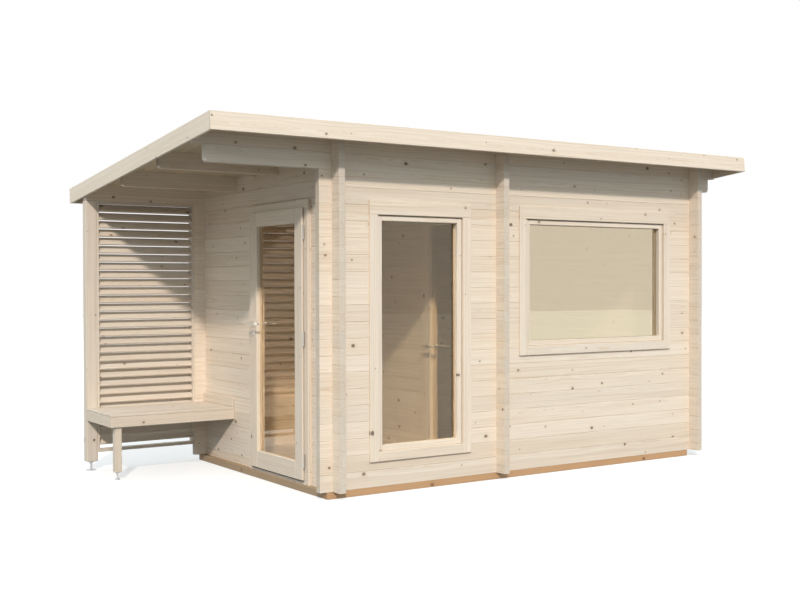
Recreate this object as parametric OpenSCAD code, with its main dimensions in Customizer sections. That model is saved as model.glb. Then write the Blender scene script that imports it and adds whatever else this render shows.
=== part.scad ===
// Sauna cabin: a pent-roof log cabin with two rooms, a covered porch with a
// bench and a louvred screen, and a glazed outer and inner door.
// Inside the modules x runs to the right along the front wall, y to the back
// and z up from the underside of the log walls.

/* [Logs] */
// Height that one log adds to a wall
log_h = 114; // [100:1:136]
// Thickness of a log
log_t = 48; // [40:1:60]
// Chamfer along the edges of a log, which makes the seams
log_chamfer = 3; // [1:0.5:5]
// Length of the log ends beyond a crossing
log_end = 97; // [60:1:130]
// Play between logs in a notch
notch_play = 0.2; // [0.1:0.1:0.5]

/* [Cabin] */
// Length over the outside faces of the end walls
cabin_l = 3508; // [2920:1:4220]
// Depth over the outside faces of the front and back walls
cabin_w = 2123; // [1900:1:2560]
// Number of logs in the back wall
back_logs = 19; // [19:1:21]
// Distance from the left wall's outside face to the partition
partition_x = 1400; // [1250:1:1600]
// Height of the bearers under the walls
bearer_h = 50; // [40:1:80]
// Width of a bearer
bearer_w = 70; // [50:1:90]
// Distance that the bearers stand out under the left wall
bearer_out = 40; // [0:1:50]
// Distance that the bearers stay back under the right wall
bearer_in = 68; // [0:1:90]
// Thickness of the floor boards
floor_t = 19; // [16:1:28]
// Chamfer along the edges of planed boards and posts
ease = 2; // [1:0.5:3]

/* [Roof] */
// Fall of the roof to the back in degrees
roof_slope = 5.85; // [3:0.05:8]
// Distance from the left wall to the outside of the left barge board
roof_left = 1016; // [850:1:1220]
// Distance from the right wall to the outside of the right barge board
roof_right = 278; // [220:1:340]
// Overhang at the front, measured along the slope
roof_front = 309; // [250:1:390]
// Overhang at the back, measured along the slope
roof_back = 283; // [220:1:340]
// Thickness of the roof boards
roof_t = 18; // [16:1:24]
// Thickness of the roofing felt
felt_t = 3; // [2:0.5:5]
// Height of the fascia boards
fascia_h = 117; // [100:1:140]
// Thickness of the fascia boards
fascia_t = 19; // [16:1:25]
// Distance that the fascia stands over the roof boards
fascia_lip = 7; // [4:1:15]
// Height of a purlin
purlin_h = 114; // [90:1:130]
// Places of the two middle purlins behind the front wall
purlin_y = [766, 1473];
// Distance from the left wall to the ends of the shorter purlins
purlin_out = 913; // [750:1:990]
// Distance from the right wall to the ends of the shorter purlins
purlin_right = 184; // [120:1:240]
// Radius at the lower corner of a purlin end
purlin_r = 26; // [10:1:40]

/* [Doors] */
// Width of the outer door leaf
leaf_w = 809; // [680:1:860]
// Width of the inner door leaf
inner_leaf_w = 640; // [530:1:700]
// Height of a door leaf
leaf_h = 1901; // [1700:1:1950]
// Height of a leaf's lower edge over the underside of the walls
leaf_z = 31; // [28:1:40]
// Distance from the front wall's outside face to the outer leaf
door_y = 333; // [300:1:360]
// Distance from the front wall's outside face to the inner leaf
inner_door_y = 220; // [200:1:300]
// Width of the outer leaf's stiles and top rail
stile_w = 108; // [90:1:130]
// Height of the outer leaf's bottom rail
bottom_rail_h = 126; // [100:1:180]
// Distance that the door frame stands out of the wall
frame_proud = 30; // [20:1:40]
// Distance that the leaf stands out of its frame
leaf_proud = 18; // [15:1:25]
// Thickness of the leaf's lip, which covers the frame
lip_t = 13; // [10:1:13]
// Thickness of a whole leaf
leaf_t = 56; // [44:1:60]
// Width that the lip covers on each side
lip_w = 15; // [12:1:20]
// Clearance around a leaf
leaf_gap = 5; // [5:0.5:8]
// Width of the outer door's frame beside the leaf
frame_show = 53; // [40:1:60]
// Width of the inner leaf's stiles and top rail
inner_stile_w = 73; // [60:1:90]
// Height of the inner leaf's bottom rail
inner_rail_h = 104; // [85:1:130]
// Width of the inner door's frame beside the leaf
inner_show = 70; // [60:1:100]
// Thickness of the panes
glass_t = 6; // [4:1:10]
// Height of the outer door's levers
lever_z = 1105; // [950:1:1150]
// Height of the inner door's levers
inner_lever_z = 903; // [850:1:1100]
// Distance from the outer leaf's edge to the middle of its roses
backset = 62; // [52:1:70]
// Distance from the inner leaf's edge to the middle of its roses
inner_backset = 50; // [50:0.5:52]
// Length of a lever
lever_l = 140; // [110:1:150]
// Radius of the rod that a lever is bent from
lever_r = 8; // [7:0.5:10]
// Radius of a hinge barrel
barrel_r = 7; // [6:0.5:9]
// Length of a hinge barrel
barrel_l = 94; // [70:1:110]

/* [Windows] */
// Width between the frame members of the tall window
tall_w = 646; // [500:1:760]
// Lowest and highest edge of the tall window's pane
tall_z = [282, 1832];
// Width between the frame members of the wide window
wide_w = 1379; // [1000:1:1600]
// Distance from the left wall's outside face to the wide window's pane
wide_x = 1727; // [1650:1:1800]
// Lowest and highest edge of the wide window's pane
wide_z = [966, 1842];
// Visible width of a window frame
sash_w = 41; // [30:1:60]
// Width that the casing covers of the frame
sash_cover = 25; // [15:1:30]
// Width of the casing boards at the sides
casing_w = 69; // [55:1:90]
// Height of the casing's head board
casing_head = 98; // [70:1:120]
// Height of the casing's bottom board
casing_foot = 69; // [50:1:90]
// Thickness of the casing boards
casing_t = 18; // [14:1:24]
// Distance from the front of a window frame to its pane
pane_in = 40; // [32:1:44]
// Width of the gap between a window's sash and its frame
sash_gap = 5; // [3:0.5:8]

/* [Porch] */
// Width and depth of the porch post
post = [88, 75];
// Height of the post's lower end over the underside of the walls
post_z = 20; // [0:1:50]
// Thickness of the boards around the screen
screen_t = 16; // [14:1:20]
// Height of the screen's lower edge over the underside of the walls
screen_z = 90; // [60:1:150]
// Height of the screen's top and bottom rail
screen_rail = 22; // [18:1:40]
// Distance between neighbouring slats
slat_pitch = 65; // [60:1:75]
// Width of a slat
slat_w = 85; // [70:1:90]
// Tilt of the slats from upright in degrees
slat_tilt = 52; // [45:1:60]
// Radius at the long edges of a slat
slat_r = 4; // [2:0.5:6]
// Height of the bench over the underside of the walls
bench_z = 436; // [380:1:500]
// Depth of the bench
bench_d = 550; // [450:1:620]
// Thickness of the bench's boards
bench_t = 20; // [18:1:28]
// Height of the bench's apron under the boards
apron_h = 75; // [60:1:100]
// Width and depth of the bench's leg
leg = [50, 60];
// Height of the leg's lower end over the underside of the walls
leg_z = 5; // [0:1:30]
// Distance from the bench's left end to the leg
leg_in = 40; // [20:1:80]
// Height of the batten over the bench
batten_h = 70; // [40:1:100]

/* [Hidden] */

spruce = "burlywood";
impregnated = "peru";
steel = "silver";
pane = [0.75, 0.85, 0.85, 0.4];

$fn = 48;
seat = 0.2;                    // play where a piece sits in a groove
eave_z = back_logs * log_h;    // wall height at the outside of the back wall
wall_top = eave_z + cabin_w * tan(roof_slope);
front_logs = floor(wall_top / log_h) - 1;
roof_x0 = -roof_left;
roof_x1 = cabin_l + roof_right;
run = cabin_w / cos(roof_slope);
roof_s0 = -run - roof_front;
roof_s1 = roof_back;
fascia_n1 = roof_t + fascia_lip;
fascia_n0 = fascia_n1 - fascia_h;
inner_y = cabin_w - log_t;     // inside face of the back wall

// Middle of the roof's outline, where the origin lies
mid_x = (roof_x0 + roof_x1) / 2;
mid_y = cabin_w + ((roof_s0 + roof_s1) * cos(roof_slope)
    + (fascia_n0 + fascia_n1) * sin(roof_slope)) / 2;

// Doors: x is square to the wall, from its outer face to the inside
head_z = leaf_z + leaf_h;
frame_cover = 20;              // width of a door frame's boards over the logs
stop_w = 8;                    // width of the stop beyond a leaf's lip
sill_z = leaf_z - 11;          // top of a door frame's sill
nose = [4, 2];                 // the threshold's nose: setback from the leaf, height
web = frame_show - frame_cover;
inner_web = inner_show - frame_cover;
web_play = 3;                  // gap between the frame and the logs
inner_proud = 18;              // frame thickness inside the room
leaf_x0 = -frame_proud - leaf_proud;
leaf_x1 = leaf_x0 + leaf_t;
pane_x = leaf_x0 + leaf_t / 2; // outer face of the pane
cheek = lip_w - leaf_gap;      // edge of a frame beside the leaf's rebate
stop = lip_w + stop_w;         // edge of a frame's stop behind the leaf
stop_x = leaf_x1 + leaf_gap;   // where the frame's stop begins
upstand = 8;                   // height of the threshold over the leaf's lower edge
upstand_t = 12;

// Panes: how far they reach into their frames, and the beads that hold them
pane_lap = 10;
bead_t = 14;
bead_step = 8;
arris = [6, 5];                // depth and width of the bevel in front of a pane

// Hinges: three to a leaf, with a pin in the leaf and one in the frame
barrel_gap = 4;
hinge_x = leaf_x0 + barrel_r;
hinge_y = -barrel_r - barrel_gap;
hinge_low = 136;               // lowest hinge over the leaf's lower edge
hinge_high = 177;              // highest hinge under the leaf's upper edge
hinge_middle = 0.518;          // place of the middle hinge in the leaf's height
hinge_z = [leaf_z + hinge_low, leaf_z + hinge_middle * leaf_h, head_z - hinge_high];
finial_h = 5;
pin_r = 4;

// Levers: a rod bent twice, on a rose, with a lock below
rose_r = 22;
rose_t = 8;
rose_bevel = 2;
neck_l = 58;
bend_r = 14;
return_l = 10;
lock_drop = 72;
lock_r = 8.5;

tall_x = (log_t + partition_x - tall_w) / 2;
window_play = 3;
window_depth = log_t + casing_t;
sash_t = 30;                   // depth of the gap at a sash's sides and head

// Porch
barge_gap = 3;                 // gap between the post and the barge board
post_x = roof_x0 + fascia_t + barge_gap;
screen_x0 = post_x + post[0];
screen_x1 = -log_end;
screen_top = eave_z - log_h;
slat_rise = (slat_w - 2 * slat_r) * cos(slat_tilt)
    + (screen_t - 2 * slat_r) * sin(slat_tilt) + 2 * slat_r;
slat_gap = 3;                  // gap between the highest slat and the top rail
post_foot = [40, 9];           // radii of a screw foot's plate and stem
leg_foot = [20, 6];
nut_share = 1.8;               // a nut's radius as a share of the stem's
cap_share = 0.8;               // the upper plate's radius as a share of the lower's
plate_t = 4;
nut_h = 12;
seat_boards = 4;
board_gap = 6;
bench_x0 = post_x;
bench_y0 = inner_y - bench_d;
apron_top = bench_z - bench_t;
leg_x = bench_x0 + leg_in;
leg_y = bench_y0 + bench_t;

function roof_z(y) = eave_z + (cabin_w - y) * tan(roof_slope);

// ---- placing ----

module at_cabin() {
    translate([-mid_x, -mid_y, bearer_h]) children();
}

module block(low, high) {
    translate(low) cube(high - low);
}

// A y-z outline drawn out along x
module along_x(x0, x1) {
    translate([x0, 0, 0]) rotate([90, 0, 90]) linear_extrude(x1 - x0) children();
}

// An x-z outline drawn out along y
module along_y(y0, y1) {
    translate([0, y1, 0]) rotate([90, 0, 0]) linear_extrude(y1 - y0) children();
}

// Planed board from low to high with eased edges, long along x, y or z
module planed(low, high, way) {
    size = high - low;
    translate(low) {
        if (way == "x") along_x(0, size.x) eased(size.y, size.z);
        if (way == "y") along_y(0, size.y) eased(size.x, size.z);
        if (way == "z") linear_extrude(size.z) eased(size.x, size.y);
    }
}

module eased(w, h) {
    polygon([[ease, 0], [w - ease, 0], [w, ease], [w, h - ease],
        [w - ease, h], [ease, h], [0, h - ease], [0, ease]]);
}

// Bevel with mitred corners around an x-z opening, cut into the face at y = 0
module bevel_cut(low, high) {
    out = arris[1] * (1 + 1 / arris[0]);
    intersection() {
        translate([0, 0, low.y - out]) linear_extrude(high.y - low.y + 2 * out)
            polygon([[low.x, arris[0]], [low.x - out, -1], [high.x + out, -1],
                [high.x, arris[0]]]);
        along_x(low.x - out, high.x + out)
            polygon([[arris[0], low.y], [-1, low.y - out], [-1, high.y + out],
                [arris[0], high.y]]);
    }
}

// The roof's own axes: x along it, y down its slope and z square to it,
// from the line where its underside meets the outside of the back wall
module on_roof() {
    translate([0, cabin_w, eave_z]) rotate([-roof_slope, 0, 0]) children();
}

module below_roof() {
    on_roof() block([roof_x0, -2 * run, -2 * wall_top], [roof_x1, run, 0]);
}

// ---- logs ----

// Section of a log wall, with a chamfered seam between the logs
module log_section(bottom, top, seam) {
    c = log_chamfer;
    seams = [for (z = seam; z < top - 1; z = z + log_h) z];
    n = len(seams);
    polygon(concat(
        [[0, bottom]],
        [for (z = seams) each [[0, z - c], [c, z], [0, z + c]]],
        [[0, top], [log_t, top]],
        [for (i = [1:n]) each [[log_t, seams[n - i] + c],
            [log_t - c, seams[n - i]], [log_t, seams[n - i] - c]]],
        [[log_t, bottom]]));
}

// Room in the front and back walls for the crossing logs
module cross_notches(x, y, logs) {
    for (k = [0:logs])
        block([x - notch_play, y - 1, (k - 0.25) * log_h - notch_play],
            [x + log_t + notch_play, y + log_t + 1, (k + 0.25) * log_h + notch_play]);
}

// Room in a side wall or the partition for the front and back logs
module wall_notches(x, logs) {
    for (y = [0, inner_y], k = [0:logs])
        block([x - 1, y - notch_play, (k + 0.25) * log_h],
            [x + log_t + 1, y + log_t + notch_play, (k + 0.75) * log_h]);
}

module all_notches(y, logs) {
    for (x = [0, partition_x, cabin_l - log_t]) cross_notches(x, y, logs);
}

// A purlin's outline from the front, with rounded lower corners
module purlin_outline(x0, x1, z0, z1) {
    difference() {
        translate([x0, z0]) square([x1 - x0, z1 - z0]);
        for (side = [0, 1])
            translate([side ? x1 : x0, z0]) mirror([side, 0]) difference() {
                translate([-1, -1]) square(purlin_r + 1);
                translate([purlin_r, purlin_r]) circle(purlin_r);
            }
    }
}

// Side wall or partition from y0 to y1 over height z0
module side_wall(x, y0, y1, z0) {
    difference() {
        intersection() {
            along_y(y0, y1) translate([x, 0]) log_section(z0, wall_top + log_h,
                z0 + log_h * (z0 > 0 ? 1 - ((z0 / log_h + 0.5) % 1) : 0.5));
            below_roof();
        }
        wall_notches(x, front_logs + 3);
        for (y = purlin_y)
            block([x - 1, y - notch_play, roof_z(y) - purlin_h - notch_play],
                [x + log_t + 1, y + log_t + notch_play, wall_top + log_h]);
    }
}

// ---- sub-parts: base ----

module bearers() {
    color(impregnated) at_cabin() {
        for (y = [0, cabin_w - bearer_w])
            block([-bearer_out, y, -bearer_h], [cabin_l - bearer_in, y + bearer_w, 0]);
        for (x = [-bearer_out, partition_x + (log_t - bearer_w) / 2,
                cabin_l - bearer_in - bearer_w])
            block([x, bearer_w + seat, -bearer_h],
                [x + bearer_w, cabin_w - bearer_w - seat, 0]);
    }
}

module floor_boards() {
    color(spruce) at_cabin() {
        block([log_t + 1, log_t + 1, 0], [partition_x - 1, inner_y - 1, floor_t]);
        block([partition_x + log_t + 1, log_t + 1, 0],
            [cabin_l - log_t - 1, inner_y - 1, floor_t]);
    }
}

// ---- sub-parts: walls ----

module front_wall() {
    color(spruce) at_cabin() difference() {
        along_x(-log_end, cabin_l + log_end)
            log_section(0, front_logs * log_h, log_h);
        all_notches(0, front_logs);
        window_hole(tall_x, tall_w, tall_z);
        window_hole(wide_x, wide_w, wide_z);
    }
}

module front_purlin() {
    z1 = front_logs * log_h;
    color(spruce) at_cabin() difference() {
        intersection() {
            union() {
                along_y(0, log_t) purlin_outline(-purlin_out,
                    cabin_l + purlin_right, z1, z1 + log_h);
                block([roof_x0 + fascia_t, 0, z1 + log_h],
                    [roof_x1 - fascia_t, log_t, z1 + 3 * log_h]);
            }
            along_x(roof_x0, roof_x1) log_section(z1, z1 + 3 * log_h, z1 + log_h);
            below_roof();
        }
        all_notches(0, front_logs + 2);
    }
}

module back_wall() {
    color(spruce) at_cabin() difference() {
        along_x(-log_end, cabin_l + log_end) translate([inner_y, 0])
            log_section(0, eave_z - log_h, log_h);
        all_notches(inner_y, back_logs);
    }
}

module back_purlin() {
    color(spruce) at_cabin() difference() {
        intersection() {
            block([roof_x0 + fascia_t, inner_y, eave_z - log_h],
                [roof_x1 - fascia_t, cabin_w, eave_z + log_h]);
            below_roof();
        }
        all_notches(inner_y, back_logs);
    }
}

module right_wall() {
    color(spruce) at_cabin()
        side_wall(cabin_l - log_t, -log_end, cabin_w + log_end, 0);
}

module left_wall_front() {
    color(spruce) at_cabin()
        side_wall(0, -log_end, door_y - web - web_play, 0);
}

module left_wall_head() {
    color(spruce) at_cabin()
        side_wall(0, door_y - web - web_play, door_y + leaf_w + web + web_play,
            head_z + web + web_play);
}

module left_wall_rear() {
    color(spruce) at_cabin()
        side_wall(0, door_y + leaf_w + web + web_play, cabin_w + log_end, 0);
}

module partition_front() {
    color(spruce) at_cabin()
        side_wall(partition_x, -log_end, inner_door_y - inner_web - web_play, 0);
}

module partition_head() {
    color(spruce) at_cabin()
        side_wall(partition_x, inner_door_y - inner_web - web_play,
            inner_door_y + inner_leaf_w + inner_web + web_play,
            head_z + inner_web + web_play);
}

module partition_rear() {
    color(spruce) at_cabin()
        side_wall(partition_x, inner_door_y + inner_leaf_w + inner_web + web_play,
            cabin_w + log_end, 0);
}

// ---- sub-parts: roof ----

module middle_purlins() {
    color(spruce) at_cabin() intersection() {
        for (y = purlin_y)
            along_y(y, y + log_t) purlin_outline(-purlin_out,
                cabin_l + purlin_right, roof_z(y) - purlin_h, roof_z(y) + 10);
        below_roof();
    }
}

module roof_boards() {
    color(spruce) at_cabin() on_roof()
        block([roof_x0 + fascia_t, roof_s0 + fascia_t, 0],
            [roof_x1 - fascia_t, roof_s1 - fascia_t, roof_t]);
}

module roof_felt() {
    color("dimgray") at_cabin() on_roof()
        block([roof_x0 + fascia_t, roof_s0 + fascia_t, roof_t],
            [roof_x1 - fascia_t, roof_s1 - fascia_t, roof_t + felt_t]);
}

module fascia_front() {
    color(spruce) at_cabin() on_roof()
        planed([roof_x0, roof_s0, fascia_n0], [roof_x1, roof_s0 + fascia_t, fascia_n1], "x");
}

module fascia_back() {
    color(spruce) at_cabin() on_roof()
        planed([roof_x0, roof_s1 - fascia_t, fascia_n0], [roof_x1, roof_s1, fascia_n1], "x");
}

module barge(x) {
    color(spruce) at_cabin() on_roof()
        planed([x, roof_s0 + fascia_t, fascia_n0],
            [x + fascia_t, roof_s1 - fascia_t, fascia_n1], "y");
}

module barge_left() {
    barge(roof_x0);
}

module barge_right() {
    barge(roof_x1 - fascia_t);
}

// ---- sub-parts: doors ----

module at_outer_door() {
    at_cabin() translate([0, door_y, 0]) children();
}

module at_inner_door() {
    at_cabin() translate([partition_x, inner_door_y, 0]) children();
}

// Jambs and head of a door frame on one face of the wall
module frame_boards(w, show, x0, x1, foot) {
    planed([x0, -show, foot], [x1, stop, head_z - stop], "z");
    planed([x0, w - stop, foot], [x1, w + show, head_z - stop], "z");
    planed([x0, -show, head_z - stop], [x1, w + show, head_z + show], "y");
}

// Frame that grips the log wall around a leaf of width w, with a rebate and
// a stop; its boards reach beyond the leaf by show and start at height foot
module door_frame_shape(w, show, foot) {
    grip = show - frame_cover;
    difference() {
        union() {
            frame_boards(w, show, -frame_proud, 0, foot);
            block([0, -grip, 0], [log_t, w + grip, head_z + grip]);
            frame_boards(w, show, log_t, log_t + inner_proud, floor_t);
        }
        block([-frame_proud - 1, cheek, sill_z], [stop_x, w - cheek, head_z - cheek]);
        block([-frame_proud - 1, stop, sill_z],
            [log_t + inner_proud + 1, w - stop, head_z - stop]);
    }
}

// Rebated leaf with stiles and a bottom rail around a bevelled opening, and
// beads that hold the pane from the inside
module door_leaf_shape(w, stile, rail) {
    low = [stile, leaf_z + rail];
    high = [w - stile, head_z - stile];
    lap = pane_lap + seat;
    difference() {
        union() {
            block([leaf_x0, 0, leaf_z], [leaf_x0 + lip_t, w, head_z]);
            block([leaf_x0, lip_w, leaf_z], [leaf_x1, w - lip_w, head_z - lip_w]);
        }
        block([leaf_x0 - 1, low.x, low.y], [leaf_x1 + 1, high.x, high.y]);
        translate([leaf_x0, 0, 0]) mirror([1, 0, 0]) rotate([0, 0, 90]) bevel_cut(low, high);
        block([pane_x - seat, low.x - lap, low.y - lap],
            [pane_x + glass_t + seat, high.x + lap, high.y + lap]);
        block([pane_x + glass_t + bead_t, low.x - bead_step, low.y - bead_step],
            [leaf_x1 + 1, high.x + bead_step, high.y + bead_step]);
    }
}

module door_glass_shape(w, stile, rail) {
    block([pane_x, stile - pane_lap, leaf_z + rail - pane_lap],
        [pane_x + glass_t, w - stile + pane_lap, head_z - stile + pane_lap]);
}

module rose() {
    cylinder(r = rose_r, h = rose_t - rose_bevel);
    translate([0, 0, rose_t - rose_bevel])
        cylinder(r1 = rose_r, r2 = rose_r - rose_bevel, h = rose_bevel);
}

// Quarter bend of a lever's rod
module lever_bend() {
    rotate_extrude(angle = 90) translate([bend_r, 0]) circle(r = lever_r);
}

// Lever, rose and lock rose on one face, pointing away from x = 0
module lever_set() {
    rotate([0, -90, 0]) {
        rose();
        cylinder(r = lever_r, h = neck_l - bend_r);
        translate([-lock_drop, 0, 0]) {
            rose();
            cylinder(r = lock_r, h = rose_t + rose_bevel);
        }
    }
    translate([bend_r - neck_l, -bend_r, 0]) rotate([0, 0, 90]) lever_bend();
    translate([-neck_l, -bend_r, 0]) rotate([90, 0, 0])
        cylinder(r = lever_r, h = lever_l - 2 * bend_r);
    translate([bend_r - neck_l, bend_r - lever_l, 0]) rotate([0, 0, 180]) lever_bend();
    translate([bend_r - neck_l, -lever_l, 0]) rotate([0, 90, 0])
        cylinder(r = lever_r, h = return_l);
    translate([bend_r - neck_l + return_l, -lever_l, 0]) sphere(r = lever_r);
}

// Levers on both faces of a leaf, at distance y from its hinged edge
module door_handles_shape(y, z) {
    translate([leaf_x0, y, z]) lever_set();
    translate([leaf_x1, y, z]) mirror([1, 0, 0]) lever_set();
}

module hinge_barrel() {
    cylinder(r = barrel_r, h = barrel_l / 2 - seat);
    translate([0, 0, barrel_l / 2 - seat])
        cylinder(r1 = barrel_r, r2 = barrel_r / 2, h = finial_h);
}

// Upper half of each hinge, with its pin in the leaf's edge
module leaf_hinges_shape() {
    for (z = hinge_z) translate([hinge_x, hinge_y, z + seat]) {
        hinge_barrel();
        translate([0, 0, barrel_l / 4]) rotate([-90, 0, 0])
            cylinder(r = pin_r, h = -hinge_y);
    }
}

// Lower half of each hinge, with its pin in the frame's face
module frame_hinges_shape() {
    for (z = hinge_z) translate([hinge_x, hinge_y, z - seat]) {
        mirror([0, 0, 1]) hinge_barrel();
        translate([0, 0, -barrel_l / 4]) rotate([0, 90, 0])
            cylinder(r = pin_r, h = -frame_proud - hinge_x);
    }
}

module door_frame() {
    color(spruce) at_outer_door() union() {
        door_frame_shape(leaf_w, frame_show, 0);
        block([-frame_proud, 0, 0], [0, leaf_w, sill_z]);
    }
}

module door_leaf() {
    color(spruce) at_outer_door() door_leaf_shape(leaf_w, stile_w, bottom_rail_h);
}

module door_glass() {
    color(pane) at_outer_door() door_glass_shape(leaf_w, stile_w, bottom_rail_h);
}

module door_handles() {
    color(steel) at_outer_door() door_handles_shape(leaf_w - backset, lever_z);
}

module door_hinges() {
    color(steel) at_outer_door() leaf_hinges_shape();
}

// Metal threshold with a sloping nose under the leaf and an upstand behind it
module door_threshold() {
    color(steel) at_outer_door() union() {
        along_y(cheek + seat, leaf_w - cheek - seat)
            polygon([[leaf_x0 + nose[0], sill_z], [stop_x, sill_z],
                [stop_x, leaf_z - leaf_gap], [-frame_proud, leaf_z - leaf_gap],
                [leaf_x0 + nose[0], sill_z + nose[1]]]);
        planed([stop_x, stop + seat, sill_z],
            [stop_x + upstand_t, leaf_w - stop - seat, leaf_z + upstand], "y");
    }
}

module inner_door_frame() {
    color(spruce) at_inner_door() door_frame_shape(inner_leaf_w, inner_show, floor_t);
}

module inner_door_leaf() {
    color(spruce) at_inner_door()
        door_leaf_shape(inner_leaf_w, inner_stile_w, inner_rail_h);
}

module inner_door_glass() {
    color(pane) at_inner_door()
        door_glass_shape(inner_leaf_w, inner_stile_w, inner_rail_h);
}

module inner_door_handles() {
    color(steel) at_inner_door()
        door_handles_shape(inner_leaf_w - inner_backset, inner_lever_z);
}

module inner_door_hinges() {
    color(steel) at_inner_door() leaf_hinges_shape();
}

module frame_hinges() {
    color(steel) {
        at_outer_door() frame_hinges_shape();
        at_inner_door() frame_hinges_shape();
    }
}

// ---- sub-parts: windows ----

// Cut through the logs for a window whose pane starts at x
module window_hole(x, w, z) {
    m = sash_w + sash_cover + window_play;
    block([x - m, -1, z[0] - m], [x + w + m, log_t + 1, z[1] + m]);
}

// Casing boards on one face of the wall, set back from the frame's visible
// part by lap: the foot stands between the sides, and the head lies over them
module casing_boards(x, w, z, lap, y0, y1) {
    low = [x - sash_w - casing_w, z[0] - sash_w - casing_foot];
    high = [x + w + sash_w + casing_w, z[1] + sash_w + casing_head];
    inner_low = [x - sash_w - lap, z[0] - sash_w - lap];
    inner_high = [x + w + sash_w + lap, z[1] + sash_w + lap];
    planed([low.x, y0, low.y], [inner_low.x, y1, inner_high.y], "z");
    planed([inner_high.x, y0, low.y], [high.x, y1, inner_high.y], "z");
    planed([inner_low.x, y0, low.y], [inner_high.x, y1, inner_low.y], "x");
    planed([low.x, y0, inner_high.y], [high.x, y1, high.y], "x");
}

module casing(x, w, z) {
    casing_boards(x, w, z, 0, -casing_t, 0);
    casing_boards(x, w, z, sash_cover, log_t, window_depth);
}

// Gap at the sides and the head of a sash, cut into the front of its frame
module sash_groove(x, w, z) {
    difference() {
        block([x - sash_w, -1, z[0] - sash_w], [x + w + sash_w, sash_t, z[1] + sash_w]);
        block([x - sash_w + sash_gap, -2, z[0] - sash_w - 1],
            [x + w + sash_w - sash_gap, sash_t + 1, z[1] + sash_w - sash_gap]);
    }
}

// Frame and sash with a bevelled opening, and beads that hold the pane from inside
module window_frame(x, w, z) {
    m = sash_w + sash_cover;
    lap = pane_lap + seat;
    difference() {
        block([x - m, 0, z[0] - m], [x + w + m, window_depth, z[1] + m]);
        block([x, -1, z[0]], [x + w, window_depth + 1, z[1]]);
        bevel_cut([x, z[0]], [x + w, z[1]]);
        sash_groove(x, w, z);
        block([x - lap, pane_in - seat, z[0] - lap],
            [x + w + lap, pane_in + glass_t + seat, z[1] + lap]);
        block([x - bead_step, pane_in + glass_t + bead_t, z[0] - bead_step],
            [x + w + bead_step, window_depth + 1, z[1] + bead_step]);
    }
}

module window_pane(x, w, z) {
    block([x - pane_lap, pane_in, z[0] - pane_lap],
        [x + w + pane_lap, pane_in + glass_t, z[1] + pane_lap]);
}

module tall_window_casing() {
    color(spruce) at_cabin() casing(tall_x, tall_w, tall_z);
}

module tall_window_frame() {
    color(spruce) at_cabin() window_frame(tall_x, tall_w, tall_z);
}

module tall_window_glass() {
    color(pane) at_cabin() window_pane(tall_x, tall_w, tall_z);
}

module wide_window_casing() {
    color(spruce) at_cabin() casing(wide_x, wide_w, wide_z);
}

module wide_window_frame() {
    color(spruce) at_cabin() window_frame(wide_x, wide_w, wide_z);
}

module wide_window_glass() {
    color(pane) at_cabin() window_pane(wide_x, wide_w, wide_z);
}

// ---- sub-parts: porch ----

module porch_post() {
    color(spruce) at_cabin()
        planed([post_x, inner_y, post_z],
            [post_x + post[0], inner_y + post[1], screen_top], "z");
}

// Screw foot from the ground to height z under a post or leg
module screw_foot(z, radii) {
    translate([0, 0, -bearer_h]) {
        cylinder(r = radii[0], h = plate_t);
        cylinder(r = radii[1], h = bearer_h + z - plate_t);
    }
    translate([0, 0, z - plate_t - nut_h])
        cylinder(r = radii[1] * nut_share, h = nut_h, $fn = 6);
    translate([0, 0, z - plate_t]) cylinder(r = radii[0] * cap_share, h = plate_t);
}

module adjustable_feet() {
    color(steel) at_cabin() {
        translate([post_x + post[0] / 2, inner_y + post[1] / 2, 0])
            screw_foot(post_z, post_foot);
        translate([leg_x + leg[0] / 2, leg_y + leg[1] / 2, 0])
            screw_foot(leg_z, leg_foot);
    }
}

// Section of a slat: front edge low, back edge high, rounded long edges
module slat_section() {
    a = slat_w / 2;
    b = screen_t / 2;
    rotate(90 - slat_tilt) union() {
        translate([-a + slat_r, -b]) square([2 * (a - slat_r), 2 * b]);
        translate([-a, -b + slat_r]) square([2 * a, 2 * (b - slat_r)]);
        for (i = [-1, 1], j = [-1, 1])
            translate([i * (a - slat_r), j * (b - slat_r)]) circle(slat_r, $fn = 16);
    }
}

// Screen between the post and the back wall: a frame with tilted slats
module louvre_screen() {
    first = screen_top - screen_rail - slat_gap - slat_rise / 2;
    count = floor((first - slat_rise / 2 - screen_z - screen_rail) / slat_pitch) + 1;
    color(spruce) at_cabin() {
        along_y(inner_y, inner_y + post[1]) difference() {
            translate([screen_x0, screen_z])
                square([screen_x1 - screen_x0, screen_top - screen_z]);
            translate([screen_x0 + screen_t, screen_z + screen_rail])
                square([screen_x1 - screen_x0 - 2 * screen_t,
                    screen_top - screen_z - 2 * screen_rail]);
        }
        for (k = [0:count - 1])
            along_x(screen_x0 + screen_t + seat, screen_x1 - screen_t - seat)
                translate([inner_y + post[1] / 2, first - k * slat_pitch]) slat_section();
    }
}

module bench_seat() {
    board = (bench_d - (seat_boards - 1) * board_gap) / seat_boards;
    color(spruce) at_cabin()
        for (y = [bench_y0:board + board_gap:inner_y - board / 2])
            planed([bench_x0, y, apron_top], [-seat, y + board, bench_z], "x");
}

// Apron boards at the front, the ends and the back, and the leg behind them
module bench_frame() {
    low = apron_top - apron_h;
    back = inner_y - seat;
    color(spruce) at_cabin() {
        for (y = [bench_y0, back - bench_t])
            planed([bench_x0, y, low], [-seat, y + bench_t, apron_top], "x");
        for (x = [bench_x0, -seat - bench_t])
            planed([x, bench_y0 + bench_t, low], [x + bench_t, back - bench_t, apron_top], "y");
        planed([leg_x, leg_y, leg_z], [leg_x + leg[0], leg_y + leg[1], apron_top], "z");
    }
}

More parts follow.
